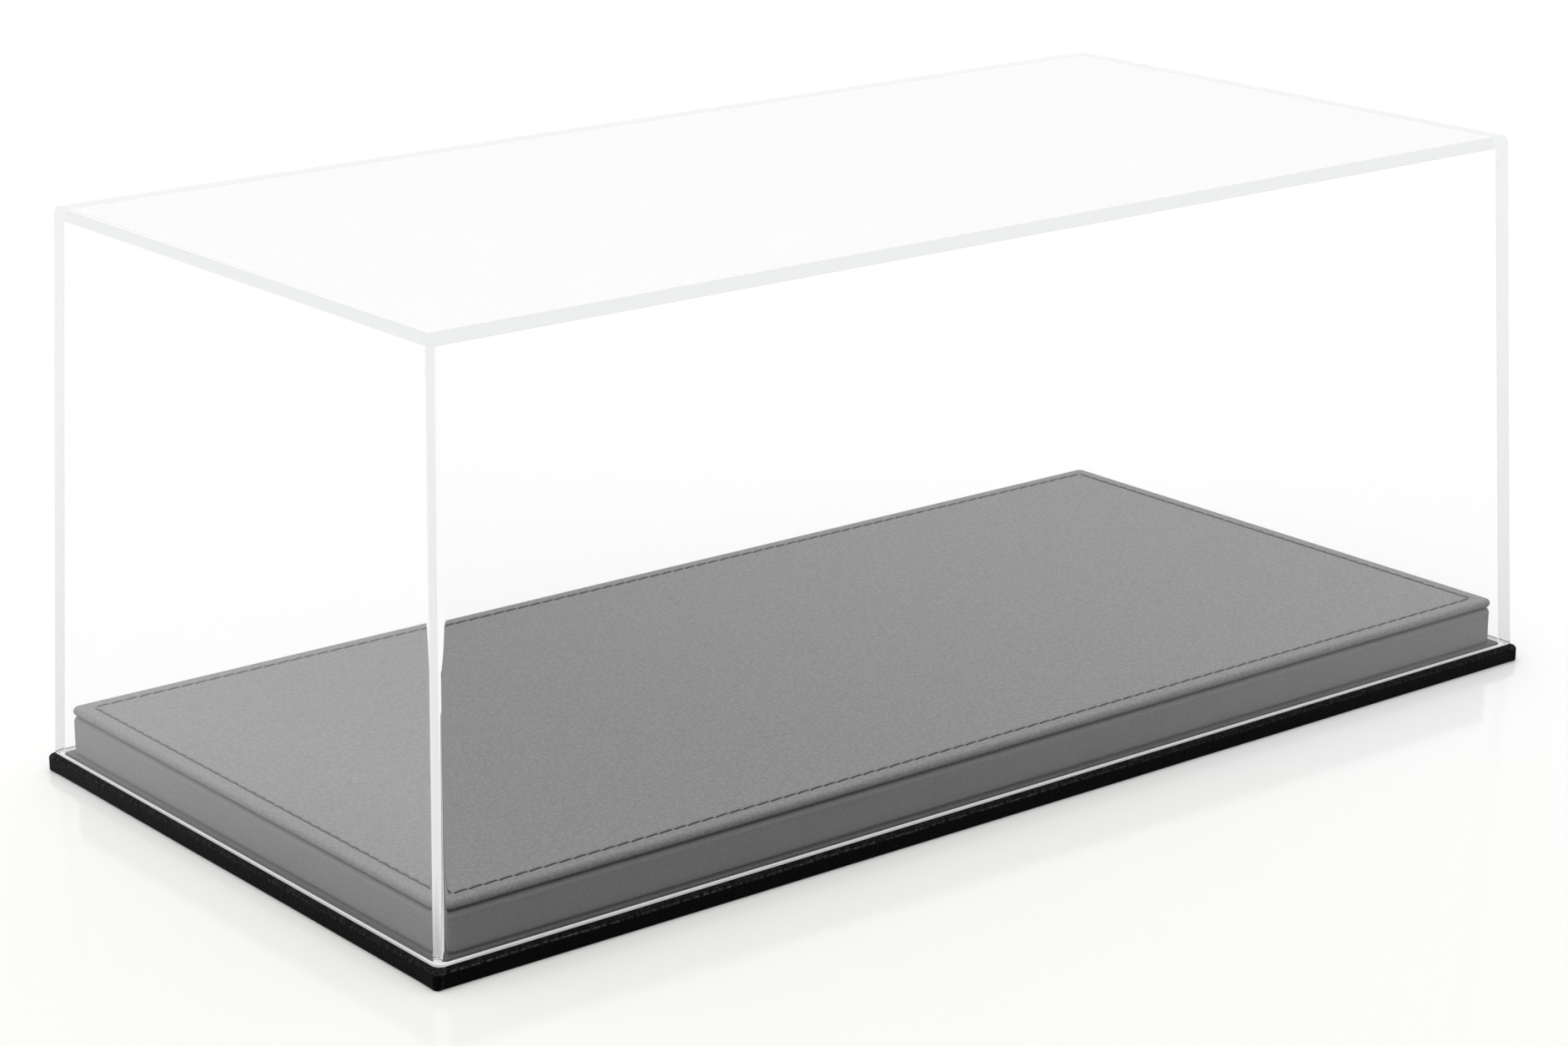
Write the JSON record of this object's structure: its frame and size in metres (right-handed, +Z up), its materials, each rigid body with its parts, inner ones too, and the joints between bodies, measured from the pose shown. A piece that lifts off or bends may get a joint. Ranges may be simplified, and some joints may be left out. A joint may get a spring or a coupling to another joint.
{
  "type": "acrylic display case",
  "caption": "Clear moulded acrylic cover that lifts off a low grey plinth with a stitched top panel, on a thin black base, for showing a collector's model.",
  "frame": {"origin": "on the surface that the case stands on, under the middle of the base", "axes": "+X along the long side, +Y from the front to the back, +Z up"},
  "size_m": [0.325, 0.1628, 0.134],
  "materials": {
    "clear_acrylic": "clear polished acrylic",
    "black_leatherette": "fine-grained satin leatherette",
    "grey_leatherette": "fine-grained satin leatherette",
    "fibreboard": "raw fibreboard",
    "lining_felt": "matt felt",
    "grey_card": "raw card",
    "dark_thread": "twisted thread",
    "zinc_steel": "zinc-plated"
  },
  "bodies": {
    "base": {"base_wrap": "black_leatherette", "base_board": "fibreboard", "base_lining": "lining_felt", "floor_sheet": "grey_leatherette", "plinth_core": "fibreboard", "side_band": "grey_leatherette", "packing_card": "grey_card", "top_card": "grey_card", "top_skin": "grey_leatherette", "stitching": "dark_thread", "plinth_screws": "zinc_steel"},
    "cover": {"clear_cover": "clear_acrylic"}
  },
  "joints": [
    {"name": "cover_lift", "type": "slide", "parent": "base", "child": "cover", "axis": [0, 0, 1], "range_m": [0, 0.13]}
  ]
}
